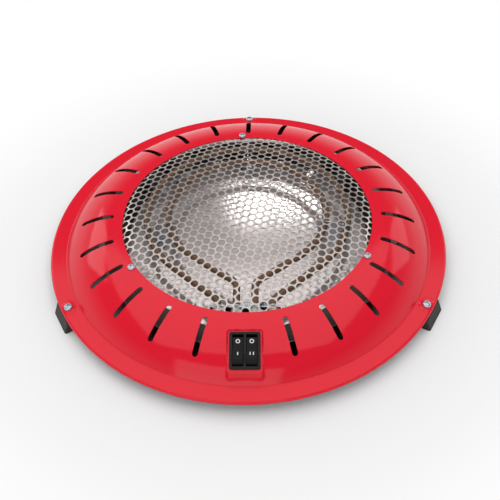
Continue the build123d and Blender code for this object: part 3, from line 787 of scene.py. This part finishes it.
@dataclass
class Element:
    """Bent tubular element: a loop round the back and two straight ends to the front."""

    name: str
    loop: float
    end_x: float
    corner_y: float
    tube: float = 3.25 * MM
    bend: float = 12 * MM
    centre_y: float = 11 * MM
    end_y: float = -117 * MM
    height: float = 32 * MM
    sides: int = 20
    bend_steps: int = 8
    loop_steps: int = 80

    def straight(self, mesh: bmesh.types.BMesh, ring: list, move: Vector) -> list:
        """Extrude the open end along a straight run.

        Args:
            mesh: the tube's bmesh.
            ring: edges of the open end.
            move: the run.
        Returns:
            The edges of the new end.
        """
        grown = bmesh.ops.extrude_edge_only(mesh, edges=ring)["geom"]
        verts = [part for part in grown if isinstance(part, bmesh.types.BMVert)]
        bmesh.ops.translate(mesh, verts=verts, vec=move)
        return [part for part in grown if isinstance(part, bmesh.types.BMEdge)
                and all(vertex in verts for vertex in part.verts)]

    def curve(self, mesh: bmesh.types.BMesh, ring: list, centre: Vector, angle: float, steps: int) -> list:
        """Spin the open end about an upright axis.

        Args:
            mesh: the tube's bmesh.
            ring: edges of the open end.
            centre: a point of the axis.
            angle: the turn.
            steps: its divisions.
        Returns:
            The edges of the new end.
        """
        verts = {vertex for edge in ring for vertex in edge.verts}
        last = bmesh.ops.spin(mesh, geom=list(verts) + ring, cent=centre, axis=UP, angle=angle, steps=steps)
        return [part for part in last["geom_last"] if isinstance(part, bmesh.types.BMEdge)]

    def build(self) -> None:
        """Make the tube from its right end to its left end."""
        centre = Vector((0, self.centre_y, self.height))
        corner = Vector((self.end_x, self.corner_y, self.height))
        reach = corner - centre
        spread = math.acos(self.loop / reach.length)
        leave = math.atan2(reach.y, reach.x) + spread
        leaving = centre + Vector((math.cos(leave), math.sin(leave), 0)) * self.loop
        run = (leaving - corner).normalized()
        turn = run.angle(Vector((0, 1, 0)))
        setback = self.bend * math.tan(turn / 2)
        rise = Vector((0, corner.y - setback - self.end_y, 0))
        slant = leaving - corner - run * setback
        back = Vector((slant.x, -slant.y, 0))
        start = Vector((self.end_x, self.end_y, self.height))
        facing = Matrix.Rotation(math.pi / 2, 4, "X")
        mesh = bmesh.new()
        bmesh.ops.create_circle(mesh, segments=self.sides, radius=self.tube, cap_ends=False,
                                matrix=Matrix.Translation(start) @ facing)
        ring = self.straight(mesh, mesh.edges[:], rise)
        ring = self.curve(mesh, ring, start + rise + Vector((self.bend, 0, 0)), -turn, self.bend_steps)
        ring = self.straight(mesh, ring, slant)
        ring = self.curve(mesh, ring, centre, math.pi - 2 * leave, self.loop_steps)
        ring = self.straight(mesh, ring, back)
        other = Vector((-self.end_x - self.bend, (start + rise).y, self.height))
        ring = self.curve(mesh, ring, other, -turn, self.bend_steps)
        self.straight(mesh, ring, -rise)
        bmesh.ops.remove_doubles(mesh, verts=mesh.verts, dist=WELD)
        bmesh.ops.holes_fill(mesh, edges=[edge for edge in mesh.edges if edge.is_boundary])
        bmesh.ops.recalc_face_normals(mesh, faces=mesh.faces)
        bmesh.ops.translate(mesh, verts=mesh.verts, vec=AXIS)
        piece = new_piece(f"{self.name}_tube", mesh, [SHEATH], Body.HEATER)
        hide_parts(self.name)


@dataclass
class Screws:
    """Pan-head screws with a cross recess, in the places of one CAD node."""

    name: str
    places: list[Matrix] = field(default_factory=list)
    head: float = 7.0 * MM
    height: float = 2.2 * MM
    size: float = 3 * MM
    length: float = 4.4 * MM
    steps: int = 28
    first_turn: float = 25.0
    next_turn: float = 37.0

    def build(self) -> None:
        """Make the screws and cut their recesses."""
        section = [(0.0, self.height)]
        for degrees in (72, 54, 36, 18, 4):
            angle = math.radians(degrees)
            rise = 0.25 + 0.75 * math.sin(angle)
            section.append((self.head / 2 * math.cos(angle) ** 0.55, self.height * rise))
        section += [(self.head / 2, 0.0), (self.size / 2, 0.0)]
        section += [(self.size / 2, -self.length), (0.0, -self.length)]
        one = spun(section, self.steps)
        bmesh.ops.recalc_face_normals(one, faces=one.faces)
        data = bpy.data.meshes.new("screw")
        one.to_mesh(data)
        one.free()
        mesh, cross = bmesh.new(), bmesh.new()
        for index, place in enumerate(self.places):
            before = len(mesh.verts)
            mesh.from_mesh(data)
            mesh.verts.ensure_lookup_table()
            bmesh.ops.transform(mesh, matrix=place, verts=mesh.verts[before:])
            for quarter in (0, 90):
                degrees = self.first_turn + self.next_turn * index + quarter
                spin = Matrix.Rotation(math.radians(degrees), 4, "Z")
                lifted = place @ spin @ Matrix.Translation((0, 0, self.height * 2))
                add_plate(cross, oblong(0.58 * self.head, 0.11 * self.head), lifted, self.height * 1.45)
        piece = new_piece(f"{self.name}_heads", mesh, [ZINC], Body.HEATER)
        carve(piece, cross, crossed=True)
        soften(piece, 35)
        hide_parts(self.name)


@dataclass
class Studio:
    """Pale floor, soft lights, world and the photograph's camera."""

    far: float = 6.0
    world_light: float = 0.42
    ceiling: float = 0.22
    lens: float = 51.51
    elevation: float = math.radians(46.5534)
    roll: float = math.radians(-2.0691)
    heading: float = math.radians(2.03)
    centre: tuple = (0.0094, -2.59019, 2.61002)
    cover_radius: float = 190 * MM
    sensor: float = 36
    near: float = 0.01
    floor_shade: float = 0.93
    floor_fade: tuple = (0.20, 0.36)
    horizon: tuple = (0.20, 0.55)

    def build_floor(self) -> None:
        """Lay a pale floor that turns to plain white far from the object."""
        mesh = bmesh.new()
        bmesh.ops.create_grid(mesh, x_segments=2, y_segments=2, size=self.far)
        data = bpy.data.meshes.new("floor")
        mesh.to_mesh(data)
        mesh.free()
        floor = bpy.data.objects.new("floor", data)
        bpy.context.scene.collection.objects.link(floor)
        material = bpy.data.materials.new("floor")
        material.use_nodes = True
        tree = material.node_tree
        shader = tree.nodes["Principled BSDF"]
        shader.inputs["Base Color"].default_value = (*[self.floor_shade] * 3, 1)
        shader.inputs["Roughness"].default_value = 0.8
        shader.inputs["Specular IOR Level"].default_value = 0.1
        white = tree.nodes.new("ShaderNodeEmission")
        place = tree.nodes.new("ShaderNodeTexCoord")
        reach = tree.nodes.new("ShaderNodeVectorMath")
        reach.operation = "LENGTH"
        fade = tree.nodes.new("ShaderNodeMapRange")
        fade.interpolation_type = "SMOOTHSTEP"
        fade.inputs["From Min"].default_value = self.floor_fade[0]
        fade.inputs["From Max"].default_value = self.floor_fade[1]
        path = tree.nodes.new("ShaderNodeLightPath")
        seen = tree.nodes.new("ShaderNodeMath")
        seen.operation = "MAXIMUM"
        share = tree.nodes.new("ShaderNodeMath")
        share.operation = "MULTIPLY"
        mix = tree.nodes.new("ShaderNodeMixShader")
        links = tree.links
        links.new(place.outputs["Object"], reach.inputs[0])
        links.new(reach.outputs["Value"], fade.inputs["Value"])
        links.new(path.outputs["Is Camera Ray"], seen.inputs[0])
        links.new(path.outputs["Is Glossy Ray"], seen.inputs[1])
        links.new(fade.outputs["Result"], share.inputs[0])
        links.new(seen.outputs["Value"], share.inputs[1])
        links.new(share.outputs["Value"], mix.inputs["Fac"])
        links.new(shader.outputs["BSDF"], mix.inputs[1])
        links.new(white.outputs["Emission"], mix.inputs[2])
        links.new(mix.outputs["Shader"], tree.nodes["Material Output"].inputs["Surface"])
        data.materials.append(material)

    def add_softbox(self, name: str, place: tuple, target: tuple, size: tuple, power: float) -> None:
        """Add a rectangular studio light aimed at a point.

        Args:
            name: name of the light.
            place: where it stands.
            target: the point that it faces.
            size: its width and height.
            power: its power in watts.
        """
        light = bpy.data.lights.new(name, "AREA")
        light.shape = "RECTANGLE"
        light.size, light.size_y = size
        light.energy = power
        lamp = bpy.data.objects.new(name, light)
        bpy.context.scene.collection.objects.link(lamp)
        lamp.location = place
        lamp.rotation_euler = (Vector(target) - Vector(place)).to_track_quat("-Z", "Y").to_euler()

    def build_lights(self) -> None:
        """Set soft boxes overhead, at the front and the back corners, and a strip for the dish's gleam."""
        self.add_softbox("overhead", (-0.1, 0.22, 1.35), (-0.1, 0.22, 0), (2.2, 1.9), 13.0)
        self.add_softbox("behind", (0.04, 1.525, 1.39), (0.02, 0.09, 0), (0.32, 0.07), 0.75)
        self.add_softbox("back_left", (-1.3, 1.0, 1.0), (0, 0, 0), (0.8, 0.6), 2.8)
        self.add_softbox("back_right", (1.3, 1.0, 1.0), (0, 0, 0), (0.8, 0.6), 2.0)
        self.add_softbox("front", (-0.3, -1.5, 0.9), (0, 0, 0), (1.6, 0.8), 4.5)

    def build_world(self) -> None:
        """White to the camera; a white horizon under a darker ceiling in gloss; even light on the rest."""
        world = bpy.data.worlds.new("studio")
        bpy.context.scene.world = world
        world.use_nodes = True
        tree = world.node_tree
        tree.nodes.clear()
        links = tree.links
        path = tree.nodes.new("ShaderNodeLightPath")
        place = tree.nodes.new("ShaderNodeTexCoord")
        split = tree.nodes.new("ShaderNodeSeparateXYZ")
        sky = tree.nodes.new("ShaderNodeMapRange")
        sky.inputs["From Min"].default_value = self.horizon[0]
        sky.inputs["From Max"].default_value = self.horizon[1]
        sky.inputs["To Min"].default_value = 1.0
        sky.inputs["To Max"].default_value = self.ceiling
        links.new(place.outputs["Generated"], split.inputs["Vector"])
        links.new(split.outputs["Z"], sky.inputs["Value"])
        backgrounds = {}
        for name, strength in (("lit", self.world_light), ("gloss", 1.0), ("seen", 1.0)):
            backgrounds[name] = tree.nodes.new("ShaderNodeBackground")
            backgrounds[name].inputs["Color"].default_value = (1, 1, 1, 1)
            backgrounds[name].inputs["Strength"].default_value = strength
        links.new(sky.outputs["Result"], backgrounds["gloss"].inputs["Strength"])
        clear = tree.nodes.new("ShaderNodeMath")
        clear.operation = "MAXIMUM"
        links.new(path.outputs["Is Camera Ray"], clear.inputs[0])
        links.new(path.outputs["Is Transmission Ray"], clear.inputs[1])
        first = tree.nodes.new("ShaderNodeMixShader")
        second = tree.nodes.new("ShaderNodeMixShader")
        output = tree.nodes.new("ShaderNodeOutputWorld")
        links.new(path.outputs["Is Glossy Ray"], first.inputs["Fac"])
        links.new(backgrounds["lit"].outputs["Background"], first.inputs[1])
        links.new(backgrounds["gloss"].outputs["Background"], first.inputs[2])
        links.new(clear.outputs["Value"], second.inputs["Fac"])
        links.new(first.outputs["Shader"], second.inputs[1])
        links.new(backgrounds["seen"].outputs["Background"], second.inputs[2])
        links.new(second.outputs["Shader"], output.inputs["Surface"])

    def build_camera(self) -> None:
        """Set the camera found from the rim, the opening and the slots in the photograph."""
        back = Vector((0, -math.cos(self.elevation), math.sin(self.elevation)))
        level = Vector((1, 0, 0))
        upright = back.cross(level)
        right = math.cos(self.roll) * level + math.sin(self.roll) * upright
        up = math.cos(self.roll) * upright - math.sin(self.roll) * level
        pose = Matrix((right, up, back)).transposed().to_4x4()
        pose.translation = Vector(self.centre) * self.cover_radius
        data = bpy.data.cameras.new("camera")
        data.lens = self.lens
        data.sensor_width = self.sensor
        data.clip_start = self.near
        camera = bpy.data.objects.new("camera", data)
        bpy.context.scene.collection.objects.link(camera)
        turned = Matrix.Rotation(self.heading, 4, "Z") @ pose
        camera.matrix_world = Matrix.Translation(AXIS + Vector((0, 0, RIM))) @ turned
        bpy.context.scene.camera = camera

    def build(self) -> None:
        """Set up the whole studio."""
        bpy.context.scene.view_settings.view_transform = "Standard"
        self.build_camera()
        self.build_world()
        self.build_lights()
        self.build_floor()


def finish_cad_nodes(nodes: dict) -> None:
    """Give every CAD node its finish.

    Args:
        nodes: the frame's nodes by name.
    """
    for name, node in nodes.items():
        finish = next((known for key, known in CAD_FINISHES.items() if name.startswith(key)), ZINC)
        node.data.materials.clear()
        node.data.materials.append(finish.material())


def main() -> None:
    """Build the studio and every piece round the frame."""
    logging.basicConfig(level=logging.INFO)
    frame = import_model()
    Studio().build()
    finish_cad_nodes(frame["nodes"])
    switch = Switch()
    cover = Cover(switch)
    cover.build()
    Grille().build()
    Dish().build()
    Element("heating_element_inner", loop=76 * MM, end_x=8 * MM, corner_y=-79 * MM).build()
    Element("heating_element_outer", loop=97 * MM, end_x=24 * MM, corner_y=-98.5 * MM).build()
    level = RIM + cover.boss[2]
    places = [around(cover.boss_radius, angle, level) for angle in SCREW_ANGLES]
    Screws("flange_screws", places, head=7.8 * MM, height=2.6 * MM, size=4 * MM, length=11.2 * MM).build()
    level = RIM + cover.crown_rise
    places = [around(GRILLE_SCREW_RADIUS, angle + GRILLE_SCREW_TURN, level) for angle in SCREW_ANGLES]
    Screws("grille_screws", places, length=4.9 * MM).build()
    Screws("bracket_screw", [Matrix.Translation(AXIS + BRACKET_SCREW)]).build()
    switch.build_rocker(-1, Body.LEFT)
    switch.build_rocker(1, Body.RIGHT)
    bpy.context.view_layer.update()


if __name__ == "__main__":
    main()
